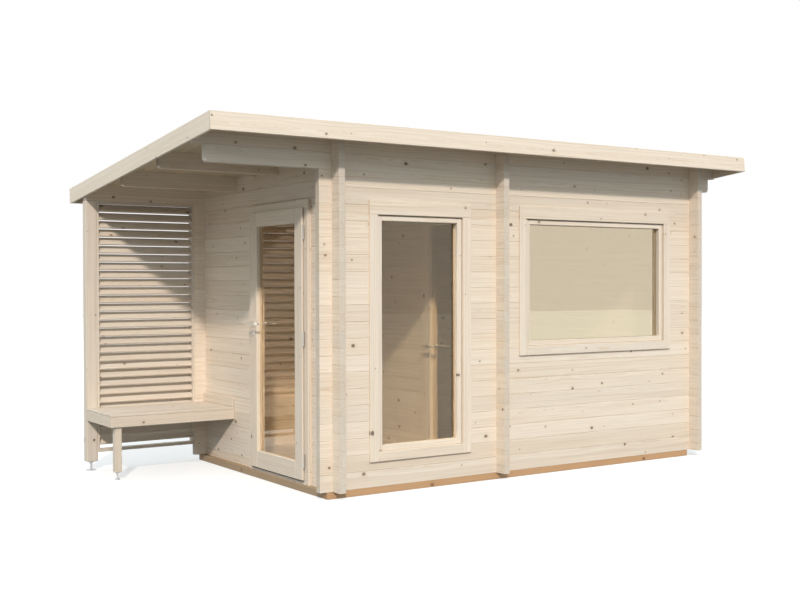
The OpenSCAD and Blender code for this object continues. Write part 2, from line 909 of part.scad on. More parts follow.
module bench_batten() {
    color(spruce) at_cabin()
        planed([-bench_t, bench_y0, bench_z + seat], [0, inner_y - seat, bench_z + batten_h], "y");
}

bearers();
floor_boards();
front_wall();
front_purlin();
back_wall();
back_purlin();
right_wall();
left_wall_front();
left_wall_head();
left_wall_rear();
partition_front();
partition_head();
partition_rear();
middle_purlins();
roof_boards();
roof_felt();
fascia_front();
fascia_back();
barge_left();
barge_right();
door_frame();
door_leaf();
door_glass();
door_handles();
door_hinges();
door_threshold();
inner_door_frame();
inner_door_leaf();
inner_door_glass();
inner_door_handles();
inner_door_hinges();
frame_hinges();
tall_window_casing();
tall_window_frame();
tall_window_glass();
wide_window_casing();
wide_window_frame();
wide_window_glass();
porch_post();
adjustable_feet();
louvre_screen();
bench_seat();
bench_frame();
bench_batten();
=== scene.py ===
"""Looks of the log sauna cabin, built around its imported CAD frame. Lengths are in metres.

The logs, purlins, levers, hinges, threshold and panes of the frame stay and get procedural
materials. The boards of everything else are made here one by one, so that each has its own grain,
and so are the felt and the screw feet. They stand for the CAD nodes they replace.
"""

import math

import bmesh
import bpy
from mathutils import Matrix, Vector


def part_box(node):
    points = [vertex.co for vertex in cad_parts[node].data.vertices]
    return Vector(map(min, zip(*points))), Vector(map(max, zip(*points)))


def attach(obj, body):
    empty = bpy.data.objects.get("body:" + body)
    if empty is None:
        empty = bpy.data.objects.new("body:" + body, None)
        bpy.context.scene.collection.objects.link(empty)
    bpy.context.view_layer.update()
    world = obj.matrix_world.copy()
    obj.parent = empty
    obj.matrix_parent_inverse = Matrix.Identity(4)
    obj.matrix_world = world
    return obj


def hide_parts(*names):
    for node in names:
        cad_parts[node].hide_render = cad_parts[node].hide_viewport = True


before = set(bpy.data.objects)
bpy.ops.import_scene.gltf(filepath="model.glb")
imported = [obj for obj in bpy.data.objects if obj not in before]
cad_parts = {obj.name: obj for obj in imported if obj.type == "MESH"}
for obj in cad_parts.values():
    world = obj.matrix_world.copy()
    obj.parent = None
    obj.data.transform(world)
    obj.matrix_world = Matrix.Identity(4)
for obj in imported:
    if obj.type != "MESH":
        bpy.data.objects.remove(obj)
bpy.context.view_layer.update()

# ---------------------------------------------------------------- sizes

LOG = 0.114                       # height that one log adds to a wall
BACK_LOGS = 19                    # logs in the back wall
SLOPE = math.radians(5.85)        # fall of the roof to the back
EDGE = 0.0015                     # bevel of planed edges, unless another is given
SEAM = 0.003                      # chamfer of tongued boards
PANE_LAP = 0.010                  # how far a pane reaches into its frame
BEAD = 0.014                      # thickness of the beads behind a pane
SASH = 0.041                      # visible width of a window frame
SASH_GAP = 0.005                  # gap around a sash, at its sides and head
GAP = 0.0003                      # play around a pane
ROUND = 0.003                     # edges of casings, beads, slats and bearers
SOFT = 0.004                      # edges of sashes, the porch's post and the bench's seat
ROOF_BOARD = 0.018                # thickness of the roof boards

GROUND_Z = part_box("bearers")[0].z             # underside of the bearers
FLOOR_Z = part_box("bearers")[1].z              # underside of the log walls
FLOOR_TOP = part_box("floor_boards")[1].z       # upper side of the floor
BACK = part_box("back_wall")[1].y               # outside face of the back wall
EAVES = Vector((0, BACK, FLOOR_Z + BACK_LOGS * LOG))
ROOF_FRAME = Matrix.Translation(EAVES) @ Matrix.Rotation(-SLOPE, 4, "X")


# ---------------------------------------------------------------- shader building

class Shader:
    """One node tree, with short calls that add a node and join it to earlier ones."""

    def __init__(self, tree):
        self.tree = tree

    def node(self, kind, inputs=(), **settings):
        made = self.tree.nodes.new("ShaderNode" + kind)
        for key, value in settings.items():
            setattr(made, key, value)
        for key, value in dict(inputs).items():
            self.join(value, made.inputs[key])
        return made

    def join(self, value, socket):
        if isinstance(value, bpy.types.NodeSocket):
            self.tree.links.new(value, socket)
        else:
            socket.default_value = value

    def math(self, operation, a, b=0.0, c=0.0, clamp=False):
        made = self.node("Math", {0: a, 1: b, 2: c}, operation=operation, use_clamp=clamp)
        return made.outputs[0]

    def split(self, vector):
        return self.node("SeparateXYZ", {0: vector}).outputs

    def vector(self, x=0.0, y=0.0, z=0.0):
        return self.node("CombineXYZ", {0: x, 1: y, 2: z}).outputs[0]

    def noise(self, vector, scale, detail=2.0, rough=0.5, distortion=0.0):
        made = self.node("TexNoise", {"Vector": vector, "Scale": scale, "Detail": detail,
                                      "Roughness": rough, "Distortion": distortion})
        return made.outputs[0]

    def chance(self, value, w=0.0):
        """A number from 0 to 1 that is the same wherever the value is the same."""
        made = self.node("TexWhiteNoise", {"Vector": self.vector(value, w, 0.0)})
        return made.outputs["Value"]

    def blend(self, factor, a, b, how="MIX"):
        made = self.node("Mix", data_type="RGBA", blend_type=how)
        self.join(factor, made.inputs["Factor"])
        self.join(a, made.inputs[6])
        self.join(b, made.inputs[7])
        return made.outputs[2]

    def ramp(self, value, low, high, out_low=0.0, out_high=1.0):
        """Smooth step from out_low to out_high as the value goes from low to high."""
        made = self.node("MapRange", {0: value, 1: low, 2: high, 3: out_low, 4: out_high},
                         interpolation_type="SMOOTHSTEP")
        return made.outputs[0]


def colour(r, g, b):
    return (r, g, b, 1.0)


def knot_masks(s, place, seed, shift, end, knots):
    """Masks of the knots, their cores and the fibres that bend around them, and a knot's hue.

    A board is cut into cells, stretch long and 1 / rows wide, and each has one knot or none.
    """
    stretch, rows = 0.36, 6.0
    along, across, depth = s.split(place)
    around = s.math("ADD", across, depth)
    cells = s.vector(s.math("MULTIPLY_ADD", along, 1 / stretch, shift),
                     s.math("MULTIPLY_ADD", around, rows, s.math("MULTIPLY", seed, 91.3)), 0.0)
    cell = s.node("TexVoronoi", {"Vector": cells, "Scale": 1.0, "Randomness": 1.0},
                  voronoi_dimensions="2D", feature="F1")
    away = s.split(s.node("VectorMath", {0: cells, 1: cell.outputs["Position"]},
                          operation="SUBTRACT").outputs[0])
    size, there, hue = s.split(cell.outputs["Color"])
    radius = s.math("MULTIPLY_ADD", s.math("POWER", size, 2.0), 0.011, 0.0035)
    wander = s.noise(place, 90.0, 1.0)
    reach_along = s.math("MULTIPLY", away[0], stretch * 0.8)
    reach_around = s.math("MULTIPLY", away[1], 1 / rows)
    reach = s.math("SQRT", s.math("ADD", s.math("POWER", reach_along, 2.0),
                                  s.math("POWER", reach_around, 2.0)))
    reach = s.math("MULTIPLY_ADD", wander, 0.003, s.math("SUBTRACT", reach, 0.0015))
    near = s.math("DIVIDE", reach, radius)
    present = s.math("MULTIPLY", s.math("LESS_THAN", there, knots), s.math("SUBTRACT", 1.0, end))
    mask = s.math("MULTIPLY", s.ramp(near, 1.05, 0.85), present)
    core = s.math("MULTIPLY", s.ramp(near, 0.9, 0.1), present)
    halo = s.math("MULTIPLY", s.ramp(near, 3.2, 0.9), present)
    return mask, core, halo, hue


def growth_rings(s, place, seed, shift, halo, ring):
    """Late wood, from 0 to 1 in each year of width ring, and how dark a year is."""
    along, across, depth = s.split(place)
    pith_across = s.math("MULTIPLY_ADD", s.chance(seed, 1.0), 0.11, -0.055)
    pith_depth = s.math("MULTIPLY_ADD", s.chance(seed, 2.0), 0.09, -0.045)
    sway = s.vector(s.math("MULTIPLY_ADD", along, 0.9, shift), s.math("MULTIPLY", across, 2.0), depth)
    sway_across = s.math("MULTIPLY_ADD", s.noise(sway, 1.0, 2.0), 0.05, -0.025)
    sway = s.vector(along, shift, seed)
    sway_depth = s.math("MULTIPLY_ADD", s.noise(sway, 1.3, 2.0), 0.05, -0.025)
    fine = s.vector(s.math("MULTIPLY", along, 5.0), s.math("MULTIPLY", across, 60.0),
                    s.math("MULTIPLY_ADD", depth, 60.0, shift))
    jitter = s.math("MULTIPLY_ADD", s.noise(fine, 1.0, 2.0), 0.0016, -0.0008)
    u = s.math("ADD", s.math("SUBTRACT", across, pith_across), sway_across)
    v = s.math("ADD", s.math("SUBTRACT", depth, pith_depth), sway_depth)
    radius = s.math("SQRT", s.math("ADD", s.math("MULTIPLY", u, u), s.math("MULTIPLY", v, v)))
    radius = s.math("MULTIPLY_ADD", halo, 0.006, s.math("ADD", radius, jitter))
    years = s.math("DIVIDE", radius, ring)
    phase = s.math("FRACT", years)
    late_wood = s.math("SUBTRACT", s.math("POWER", phase, 2.5), s.ramp(phase, 0.93, 1.0))
    late_wood = s.math("MAXIMUM", late_wood, 0.0)
    dark_year = s.math("POWER", s.noise(s.vector(years, shift), 0.4, 2.0), 3.0)
    late_wood = s.math("MULTIPLY", late_wood, s.math("MULTIPLY_ADD", dark_year, 5.0, 0.35))
    return late_wood, dark_year


def fibres(s, place, shift, stretch, fineness):
    """A place that is long along the grain and short across it."""
    along, across, depth = s.split(place)
    return s.vector(s.math("MULTIPLY_ADD", along, stretch, shift),
                    s.math("MULTIPLY", across, fineness), s.math("MULTIPLY", depth, fineness))


def wood_group(name, early, late, knots=0.55, knot=colour(0.09, 0.045, 0.02), ring=0.0028):
    """Solid spruce: growth rings around a wandering pith, fibre streaks and knots.

    Its inputs are a place in the board (along the grain, across it, through it), a number that
    differs from board to board, and 1 on end grain. Of the places for a knot, the share given
    by knots has one.
    """
    group = bpy.data.node_groups.new(name, "ShaderNodeTree")
    face = group.interface
    face.new_socket("Place", in_out="INPUT", socket_type="NodeSocketVector")
    face.new_socket("Seed", in_out="INPUT", socket_type="NodeSocketFloat")
    face.new_socket("End", in_out="INPUT", socket_type="NodeSocketFloat")
    face.new_socket("Color", in_out="OUTPUT", socket_type="NodeSocketColor")
    face.new_socket("Height", in_out="OUTPUT", socket_type="NodeSocketFloat")
    s = Shader(group)
    given = group.nodes.new("NodeGroupInput")
    place, seed, end = given.outputs[0], given.outputs[1], given.outputs[2]
    shift = s.math("MULTIPLY", seed, 37.7)
    knot_mask, knot_core, halo, hue = knot_masks(s, place, seed, shift, end, knots)
    late_wood, dark_year = growth_rings(s, place, seed, shift, halo, ring)
    streaks = s.noise(fibres(s, place, shift, 2.2, 150.0), 1.0, 4.0, 0.6)
    bands = s.noise(fibres(s, place, shift, 0.8, 22.0), 1.0, 3.0, 0.6)

    # Early and late wood, then the tone of the whole board, then its knots
    body = s.blend(s.math("MULTIPLY", late_wood, 0.45, clamp=True), early, late)
    body = s.blend(s.math("MULTIPLY", dark_year, 1.3, clamp=True), body, late)
    body = s.blend(s.ramp(bands, 0.45, 0.8, 0.0, 0.35), body, late)
    tone = s.math("MULTIPLY_ADD", s.chance(seed, 3.0), 0.08, 0.955)
    tone = s.math("MULTIPLY", tone, s.math("MULTIPLY_ADD", streaks, 0.34, 0.83))
    tone = s.math("MULTIPLY", tone, s.math("MULTIPLY_ADD", end, -0.16, 1.0))
    warm = s.blend(s.math("MULTIPLY", s.chance(seed, 4.0), 0.5),
                   colour(1, 1, 1), colour(1.0, 0.955, 0.89))
    body = s.blend(1.0, body, warm, "MULTIPLY")
    body = s.blend(1.0, body, s.vector(tone, tone, tone), "MULTIPLY")
    body = s.blend(s.math("MULTIPLY", halo, 0.22), body, late)
    brown = s.blend(hue, knot, late)
    body = s.blend(s.math("MULTIPLY", knot_mask, 0.85), body, s.blend(knot_core, brown, knot))

    height = s.math("MULTIPLY_ADD", late_wood, 0.5, s.math("MULTIPLY", streaks, 0.6))
    height = s.math("MULTIPLY_ADD", knot_mask, 0.6, height)
    out = group.nodes.new("NodeGroupOutput")
    s.join(body, out.inputs[0])
    s.join(height, out.inputs[1])
    return group


PALE = wood_group("spruce", colour(0.79, 0.71, 0.615), colour(0.62, 0.48, 0.355), 0.8)
# The porch palette is the pale spruce made darker: painted shade for the post, the louvred screen and
# the bench, which stand under the porch roof.
SHADED_PORCH = wood_group("porch_spruce_painted_shade", colour(0.705, 0.635, 0.555), colour(0.55, 0.43, 0.32), 0.8)
# The roof deck's palette is darker and browner still: painted shade for the underside of the roof
# boards, which forms the ceiling of the porch.
SHADED_DECK = wood_group("roof_spruce_painted_shade", colour(0.61, 0.53, 0.39), colour(0.46, 0.35, 0.22), 0.8)
BROWN = wood_group("impregnated", colour(0.55, 0.335, 0.18), colour(0.36, 0.19, 0.09),
                   knot=colour(0.10, 0.045, 0.02))
DULL = wood_group("dull_impregnated", colour(0.41, 0.295, 0.185), colour(0.27, 0.175, 0.10),
                  knot=colour(0.10, 0.05, 0.03))


def new_material(name):
    made = bpy.data.materials.new(name)
    made.use_nodes = True
    made.node_tree.nodes.clear()
    return made, Shader(made.node_tree)


def surface(s, bump=None, strength=0.3, distance=0.0004, **sockets):
    """Principled surface with an optional bump from a height."""
    shader = s.node("BsdfPrincipled")
    for key, value in sockets.items():
        s.join(value, shader.inputs[key.replace("_", " ")])
    if bump is not None:
        lifted = s.node("Bump", {"Strength": strength, "Distance": distance, "Height": bump})
        s.join(lifted.outputs[0], shader.inputs["Normal"])
    s.out = s.node("OutputMaterial")
    s.join(shader.outputs[0], s.out.inputs["Surface"])
    return shader


def wood_surface(s, group, place, seed, end, seam=None):
    """Wood from a group's colour and height; seam is 1 in the dark joint between two logs."""
    wood = s.node("Group", node_tree=group)
    s.join(place, wood.inputs[0])
    s.join(seed, wood.inputs[1])
    s.join(end, wood.inputs[2])
    rough = s.ramp(wood.outputs[1], 0.0, 1.2, 0.62, 0.5)
    shade = wood.outputs[0]
    if seam is not None:
        tight = s.ramp(s.noise(place, 4.0, 2.0), 0.35, 0.65, 0.15, 1.0)
        shade = s.blend(s.math("MULTIPLY", seam, tight), shade,
                        s.blend(1.0, shade, colour(0.70, 0.65, 0.58), "MULTIPLY"))
    surface(s, bump=wood.outputs[1], Base_Color=shade, Roughness=rough)


def board_wood(name, group):
    """Wood of the boards made here, which carry their own place in the grain."""
    made, s = new_material(name)
    place = s.node("Attribute", attribute_name="place").outputs["Vector"]
    seed = s.node("Attribute", attribute_name="seed").outputs["Fac"]
    end = s.node("Attribute", attribute_name="end").outputs["Fac"]
    wood_surface(s, group, place, seed, end)
    return made


def solid_wood(name, group, grain, centre, seed, period=None, period_axis="z", start=0.0):
    """Wood of a CAD node whose grain runs along one axis.

    Where pieces repeat, such as logs in a wall, each gets its own seed: they follow each other
    along period_axis, one in every period, and the first starts at start. Logs, which are piled
    up along z, also get a dark joint between them.
    """
    made, s = new_material(name)
    coordinates = s.node("TexCoord")
    xyz = dict(zip("xyz", s.split(coordinates.outputs["Object"])))
    normal = dict(zip("xyz", s.split(coordinates.outputs["Normal"])))
    others = [a for a in ("z", "y", "x") if a != grain]
    local = {a: s.math("SUBTRACT", xyz[a], centre["xyz".index(a)]) for a in others}
    number, seam = seed, None
    if period:
        turn = s.math("DIVIDE", s.math("SUBTRACT", xyz[period_axis], start), period)
        index = s.math("FLOOR", turn)
        number = s.math("MULTIPLY_ADD", index, 0.173, seed)
        if period_axis != grain:
            within = s.math("SUBTRACT", s.math("FRACT", turn), 0.5)
            local[period_axis] = s.math("MULTIPLY", within, period)
            if period_axis == "z":
                seam = s.ramp(s.math("ABSOLUTE", within),
                              0.5 - 0.0018 / period, 0.5 - 0.0005 / period)
    place = s.vector(xyz[grain], local[others[0]], local[others[1]])
    end = s.math("GREATER_THAN", s.math("ABSOLUTE", normal[grain]), 0.9)
    wood_surface(s, group, place, number, end, seam)
    return made


def dress(node, material):
    """Gives a CAD node its material."""
    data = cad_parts[node].data
    data.materials.clear()
    data.materials.append(material)


# ---------------------------------------------------------------- meshes

def corner_of(axes, signs):
    """The corner of a box, as three signs, that has these signs on these axes."""
    signs = dict(zip(axes, signs))
    return tuple(signs[axis] for axis in range(3))


class Boards:
    """Planed boards with bevelled edges, each with its own grain, in one mesh."""

    count = 0

    def __init__(self):
        self.mesh = bmesh.new()
        self.place = self.mesh.verts.layers.float_vector.new("place")
        self.seed = self.mesh.verts.layers.float.new("seed")
        self.end = self.mesh.faces.layers.float.new("end")

    def add(self, low, high, grain, edge=EDGE, turn=None):
        """A board from corner low to corner high, which turn, a matrix, may then move."""
        low, high = Vector(low), Vector(high)
        middle, half = (low + high) / 2, (high - low) / 2
        edge = min(edge, min(half) * 0.45)
        Boards.count += 1
        seed = Boards.count * 0.7313 % 97.0
        g = "xyz".index(grain)
        wide, thin = sorted((a for a in range(3) if a != g), key=lambda a: -half[a])
        made = {}
        for corner in ((x, y, z) for x in (-1, 1) for y in (-1, 1) for z in (-1, 1)):
            for axis in range(3):
                at = Vector(corner[a] * (half[a] - (0 if a == axis else edge)) for a in range(3))
                spot = middle + at
                vert = self.mesh.verts.new(turn @ spot if turn else spot)
                vert[self.place] = (spot[g], at[wide], at[thin])
                vert[self.seed] = seed
                made[corner, axis] = vert
        self.cover(made, g)

    def cover(self, made, grain_axis):
        """Adds the sides, bevels and corners over the points of one board.

        made[corner, axis] is the point of that corner on the side across that axis.
        """
        faces = []
        for axis in range(3):
            b, c = [a for a in range(3) if a != axis]
            for side in (-1, 1):
                ring = [made[corner_of((axis, b, c), (side, sb, sc)), axis]
                        for sb, sc in ((-1, -1), (1, -1), (1, 1), (-1, 1))]
                face = self.mesh.faces.new(ring)
                face[self.end] = 1.0 if axis == grain_axis else 0.0
                faces.append(face)
                for other in (-1, 1):
                    first = corner_of((b, c, axis), (side, other, -1))
                    second = corner_of((b, c, axis), (side, other, 1))
                    faces.append(self.mesh.faces.new((made[first, b], made[second, b],
                                                      made[second, c], made[first, c])))
        for corner in {key[0] for key in made}:
            faces.append(self.mesh.faces.new([made[corner, a] for a in range(3)]))
        bmesh.ops.recalc_face_normals(self.mesh, faces=faces)

    def done(self, name, material, body="cabin", replaces=(), slot="spruce"):
        return piece(self.mesh, name, material, body, replaces)


def put_in_scene(name, data):
    made = bpy.data.objects.new(name, data)
    bpy.context.scene.collection.objects.link(made)
    return made


def piece(mesh, name, material, body, replaces=(), smooth=False):
    """Turns a bmesh into an object that rides on a body and stands for CAD nodes."""
    data = bpy.data.meshes.new(name)
    mesh.to_mesh(data)
    mesh.free()
    for face in data.polygons:
        face.use_smooth = smooth
    made = put_in_scene(name, data)
    data.materials.append(material)
    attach(made, body)
    if replaces:
        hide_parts(*replaces)
    return made


def loose_parts(node):
    """The boxes of a CAD node's separate solids, lowest first."""
    mesh = bmesh.new()
    mesh.from_mesh(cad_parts[node].data)
    bmesh.ops.remove_doubles(mesh, verts=mesh.verts, dist=1e-5)
    left, boxes = set(mesh.verts), []
    while left:
        todo, seen = [left.pop()], []
        while todo:
            vert = todo.pop()
            seen.append(vert.co.copy())
            for edge in vert.link_edges:
                other = edge.other_vert(vert)
                if other in left:
                    left.remove(other)
                    todo.append(other)
        boxes.append(tuple(Vector(f(co[a] for co in seen) for a in range(3)) for f in (min, max)))
    mesh.free()
    return sorted(boxes, key=lambda b: (b[0].z, b[0].y, b[0].x))


def circle(centre, radius, side, up, segments):
    """Points around a circle in the plane of two unit vectors."""
    turns = [2 * math.pi * i / segments for i in range(segments)]
    return [centre + radius * (math.cos(t) * side + math.sin(t) * up) for t in turns]


def lathe(mesh, profile, start, axis, segments=32):
    """Turns (distance along, radius) points around an axis and adds the closed form."""
    axis = Vector(axis).normalized()
    side = axis.orthogonal().normalized()
    up = axis.cross(side)
    rings = []
    for along, radius in profile:
        centre = Vector(start) + axis * along
        rings.append([mesh.verts.new(p) for p in circle(centre, radius, side, up, segments)])
    faces = []
    for a, b in zip(rings, rings[1:]):
        for i in range(segments):
            j = (i + 1) % segments
            faces.append(mesh.faces.new((a[i], a[j], b[j], b[i])))
    faces.append(mesh.faces.new(rings[0][::-1]))
    faces.append(mesh.faces.new(rings[-1]))
    bmesh.ops.recalc_face_normals(mesh, faces=faces)


def tube(mesh, path, radius, segments=16, closed=False):
    """A round bar along a path, with flat ends unless it closes on itself."""
    path = [Vector(p) for p in path]
    rings, side = [], None
    count = len(path)
    for i, spot in enumerate(path):
        before = path[i - 1] if (closed or i > 0) else spot
        after = path[(i + 1) % count] if (closed or i < count - 1) else spot
        along = (after - before).normalized()
        side = along.orthogonal() if side is None else side - along * side.dot(along)
        side = side.normalized()
        up = along.cross(side)
        rings.append([mesh.verts.new(p) for p in circle(spot, radius, side, up, segments)])
    pairs = list(zip(rings, rings[1:])) + ([(rings[-1], rings[0])] if closed else [])
    faces = []
    for a, b in pairs:
        for k in range(segments):
            m = (k + 1) % segments
            faces.append(mesh.faces.new((a[k], a[m], b[m], b[k])))
    if not closed:
        faces.append(mesh.faces.new(rings[0][::-1]))
        faces.append(mesh.faces.new(rings[-1]))
    bmesh.ops.recalc_face_normals(mesh, faces=faces)


# ---------------------------------------------------------------- materials

spruce_board = board_wood("spruce_board", PALE)
# The porch's boards take the darker porch palette, whose darkness is painted shade.
shaded_porch_board = board_wood("shaded_porch_board", SHADED_PORCH)
# The roof boards' material carries painted shade for the porch ceiling.
shaded_deck_board = board_wood("roof_board", SHADED_DECK)
brown_board = board_wood("impregnated_board", BROWN)
dull_board = board_wood("dull_board", DULL)


def metal(name, tint, rough, grain=(40.0, 40.0, 900.0)):
    """Satin metal with fine brushing and a slight cloudiness."""
    made, s = new_material(name)
    spot = s.node("TexCoord").outputs["Object"]
    stretched = s.node("VectorMath", {0: spot, 1: grain}, operation="MULTIPLY").outputs[0]
    brushed = s.noise(stretched, 1.0, 3.0)
    cloud = s.noise(spot, 35.0, 3.0)
    roughness = s.math("MULTIPLY_ADD", brushed, 0.12, s.math("MULTIPLY_ADD", cloud, 0.1, rough - 0.1))
    shade = s.blend(s.ramp(cloud, 0.3, 0.7), tint, [c * 0.93 for c in tint[:3]] + [1.0])
    surface(s, bump=brushed, strength=0.15, distance=0.00005, Base_Color=shade,
            Roughness=roughness, Metallic=1.0)
    return made


def galvanised(name):
    """Hot-dip zinc with its crystals."""
    made, s = new_material(name)
    spot = s.node("TexCoord").outputs["Object"]
    crystals = s.node("TexVoronoi", {"Vector": spot, "Scale": 160.0}, feature="F1")
    grey = s.math("MULTIPLY_ADD", s.split(crystals.outputs["Color"])[0], 0.18, 0.50)
    surface(s, bump=crystals.outputs["Distance"], strength=0.2, distance=0.0001,
            Base_Color=s.vector(grey, grey, grey),
            Roughness=s.math("MULTIPLY_ADD", grey, -0.3, 0.6), Metallic=0.9)
    return made


def bronze_glass(name, tint, mirror, index, sun, daylight=False):
    """Warm sun glass, whose coat is stood for by a high index, so that it mirrors more.

    Sunlight passes each of its faces in the colour sun. With daylight, so does light that comes
    back from the room.
    """
    made, s = new_material(name)
    spot = s.node("TexCoord").outputs["Object"]
    film = s.noise(spot, 3.0, 2.0)
    shade = s.blend(film, tint, [c * 0.94 for c in tint[:3]] + [1.0])
    ripple = s.noise(spot, 1.6, 1.0)
    pane = surface(s, bump=ripple, strength=0.003, distance=0.001, Base_Color=shade,
                   Roughness=s.math("MULTIPLY_ADD", film, 0.01, 0.0), IOR=index,
                   Specular_Tint=mirror, Transmission_Weight=1.0)
    sunlight = s.blend(film, sun, [c * 0.98 for c in sun[:3]] + [1.0])
    clear = s.node("BsdfTransparent", {"Color": sunlight})
    path = s.node("LightPath").outputs
    passes = path["Is Shadow Ray"]
    if daylight:
        passes = s.math("MAXIMUM", passes, path["Is Diffuse Ray"])
    both = s.node("MixShader", {0: passes, 1: pane.outputs[0], 2: clear.outputs[0]})
    s.join(both.outputs[0], s.out.inputs["Surface"])
    return made


def roofing_felt(name):
    """Dark bitumen felt with mineral granules."""
    made, s = new_material(name)
    spot = s.node("TexCoord").outputs["Object"]
    grains = s.node("TexVoronoi", {"Vector": spot, "Scale": 650.0}, feature="F1")
    fleck = s.split(grains.outputs["Color"])[0]
    patch = s.noise(spot, 2.5, 4.0, 0.6)
    grey = s.math("MULTIPLY_ADD", fleck, 0.09, s.math("MULTIPLY_ADD", patch, 0.05, 0.035))
    shade = s.blend(1.0, s.vector(grey, grey, grey), colour(1.0, 0.99, 0.96), "MULTIPLY")
    wave = s.noise(spot, 4.0, 2.0)
    height = s.math("MULTIPLY_ADD", grains.outputs["Distance"], -0.6, s.math("MULTIPLY", wave, 3.0))
    surface(s, bump=height, strength=0.6, distance=0.0012, Base_Color=shade, Roughness=0.88)
    return made


steel = metal("satin_steel", colour(0.82, 0.79, 0.74), 0.42)
dull_steel = metal("dull_steel", colour(0.50, 0.475, 0.44), 0.48)
zinc = galvanised("zinc")
SUN_PASS = colour(0.88, 0.85, 0.79)
glass = bronze_glass("bronze_glass", colour(0.73, 0.67, 0.56), colour(1.0, 0.92, 0.78), 1.7, SUN_PASS)
door_pane = bronze_glass("door_pane", colour(0.88, 0.79, 0.65), colour(1.0, 0.92, 0.80), 1.5, SUN_PASS)
inner_pane = bronze_glass("inner_pane", colour(0.98, 0.89, 0.75), colour(1.0, 0.92, 0.80), 1.45,
                          SUN_PASS)
mirror_glass = bronze_glass("mirror_glass", colour(0.80, 0.70, 0.55), colour(1.0, 0.85, 0.62), 5.5,
                            SUN_PASS, daylight=True)
felt = roofing_felt("roofing_felt")


# ---------------------------------------------------------------- log walls and timbers

def log_walls():
    """Every log gets its own seed: side walls are half a log lower than front and back."""
    half = LOG / 2
    long_walls = {"front_wall": 0.11, "front_purlin": 0.11, "back_wall": 9.4, "back_purlin": 9.4}
    side_walls = {"left_wall_front": 21.3, "left_wall_head": 24.9, "left_wall_rear": 28.2,
                  "partition_front": 33.1, "partition_head": 36.8, "partition_rear": 41.7,
                  "right_wall": 47.6}
    for walls, grain, start in ((long_walls, "x", FLOOR_Z), (side_walls, "y", FLOOR_Z - half)):
        for node, seed in walls.items():
            low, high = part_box(node)
            dress(node, solid_wood(node, PALE, grain, (low + high) / 2, seed, LOG, "z", start))
    low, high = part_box("middle_purlins")
    spacing = (high.y - low.y) / 2
    middle = (low + high) / 2
    purlin_wood = solid_wood("middle_purlins", PALE, "x", middle, 52.4, spacing, "y", low.y)
    dress("middle_purlins", purlin_wood)


def bearers():
    """The long bearers are browner than the ones across."""
    long_ones, cross_ones = Boards(), Boards()
    for low, high in loose_parts("bearers"):
        if high.x - low.x > high.y - low.y:
            long_ones.add(low, high, "x", ROUND)
        else:
            cross_ones.add(low, high, "y", ROUND)
    long_ones.done("long_bearers", brown_board, replaces=["bearers"], slot="bearer_wood")
    cross_ones.done("cross_bearers", dull_board, slot="bearer_wood")


def floor():
    """Tongued boards along each room."""
    width = 0.088
    boards = Boards()
    for low, high in loose_parts("floor_boards"):
        count = round((high.y - low.y) / width)
        step = (high.y - low.y) / count
        for i in range(count):
            y = low.y + i * step
            boards.add((low.x, y, low.z), (high.x, low.y + (i + 1) * step, high.z), "x", SEAM / 2)
    boards.done("floor_planks", spruce_board, replaces=["floor_boards"])


# ---------------------------------------------------------------- roof

def along_slope(node, thickness):
    """First and last place of a sloping CAD slab along the roof's own slope."""
    low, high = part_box(node)
    start = (low.y - BACK) / math.cos(SLOPE)
    stop = (high.y - BACK - thickness * math.sin(SLOPE)) / math.cos(SLOPE)
    return start, stop


def roof_deck():
    """Tongued boards that run down the slope."""
    low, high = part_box("roof_boards")
    width = 0.096
    start, stop = along_slope("roof_boards", ROOF_BOARD)
    count = round((high.x - low.x) / width)
    step = (high.x - low.x) / count
    boards = Boards()
    for i in range(count):
        x = low.x + i * step
        boards.add((x, start, 0.0), (x + step, stop, ROOF_BOARD), "y", SEAM, ROOF_FRAME)
    boards.done("roof_planks", shaded_deck_board, replaces=["roof_boards"])


def roof_cover():
    """Strips of felt that lap towards the eaves, each nailed along its lower edge."""
    low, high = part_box("roof_boards")
    start, stop = along_slope("roof_boards", ROOF_BOARD)
    rows, lap, sheet, play = 3, 0.08, 0.0028, 0.0002
    nail_gap, nail_first, nail_edge = 0.09, 0.04, 0.025       # from each other, the end, the edge
    nail_head = [(0, 0.0045), (0.0006, 0.0045), (0.0009, 0.003)]
    upright = ROOF_FRAME.to_3x3() @ Vector((0, 0, 1))
    width = (stop - start - lap) / rows + lap
    felt_mesh = bmesh.new()
    nails = bmesh.new()
    for i in range(rows):
        bottom = stop - i * (width - lap)
        top = bottom - width
        lift = play + (0 if i == 0 else sheet)
        drape = [(top, play), (bottom - lap, play), (bottom - lap * 0.8, lift), (bottom, lift)]
        add_sheet(felt_mesh, low.x, high.x, [(s, ROOF_BOARD + n) for s, n in drape], sheet)
        for k in range(int((high.x - low.x) / nail_gap)):
            x = low.x + nail_first + k * nail_gap
            spot = ROOF_FRAME @ Vector((x, bottom - nail_edge, ROOF_BOARD + lift + sheet))
            lathe(nails, nail_head, spot, upright, 10)
    piece(felt_mesh, "felt_sheets", felt, "cabin", ["roof_felt"])
    piece(nails, "felt_nails", zinc, "cabin")


